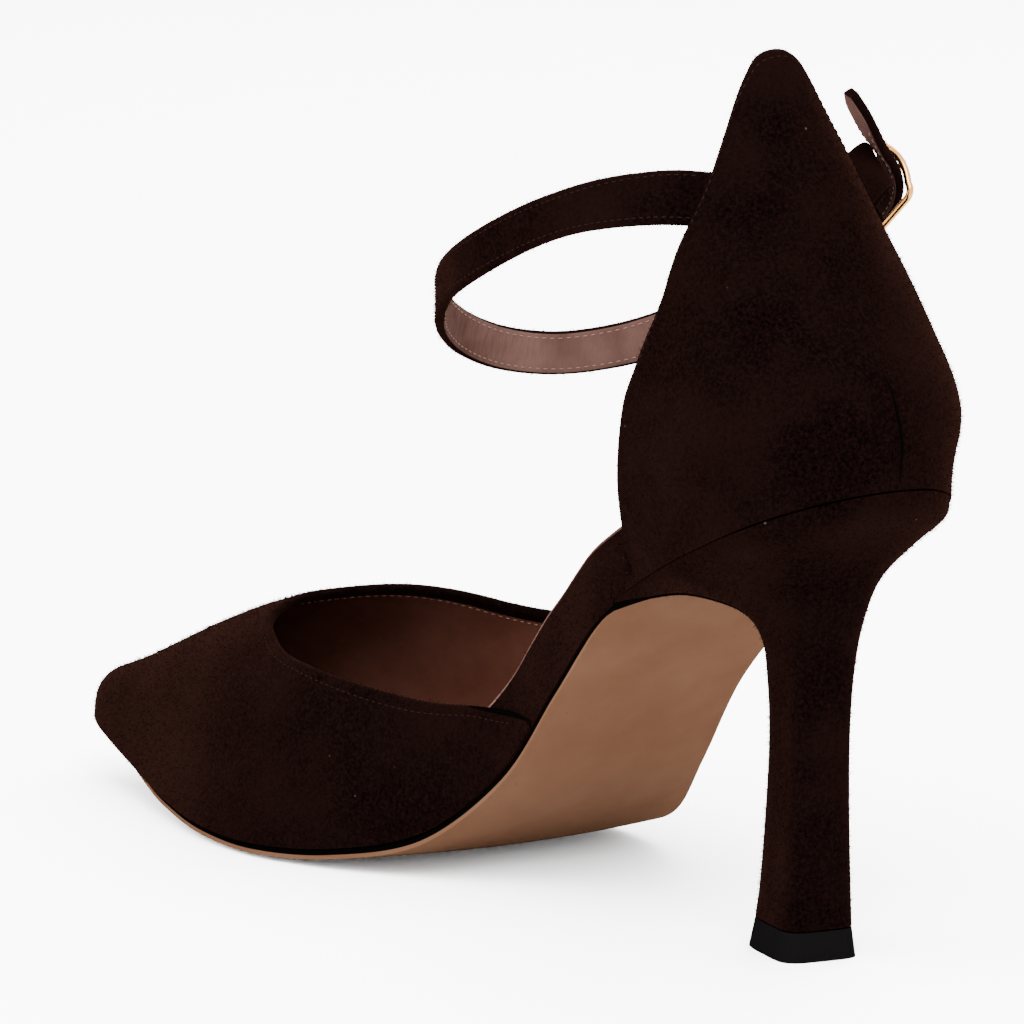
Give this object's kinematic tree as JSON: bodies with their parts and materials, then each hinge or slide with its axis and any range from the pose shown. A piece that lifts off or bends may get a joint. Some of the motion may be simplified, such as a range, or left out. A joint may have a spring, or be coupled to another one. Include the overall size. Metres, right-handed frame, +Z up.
{
  "type": "high heel shoe",
  "caption": "Right high heel shoe with a closed pointed toe, open waist, tall back counter and a buckled ankle strap.",
  "frame": {"origin": "the middle of the heel tip's flat face, on the floor", "axes": "+X along the foot towards the toe, +Y towards the shoe's inner (medial) side, +Z up"},
  "size_m": [0.2438, 0.0734, 0.158],
  "materials": {
    "suede": "dark brown suede, matt, with a short nap",
    "lining_leather": "smooth brown lining leather, satin",
    "sole_leather": "smooth tan sole leather, lightly polished",
    "black_rubber": "matt black top lift",
    "gold_metal": "polished pale gold plating"
  },
  "bodies": {
    "root": {"upper": "suede", "outsole": "sole_leather", "insole": "lining_leather", "heel": "suede", "heel_tip": "black_rubber", "ankle_strap": "suede", "buckle_strap": "suede", "buckle": "gold_metal"}
  },
  "joints": []
}
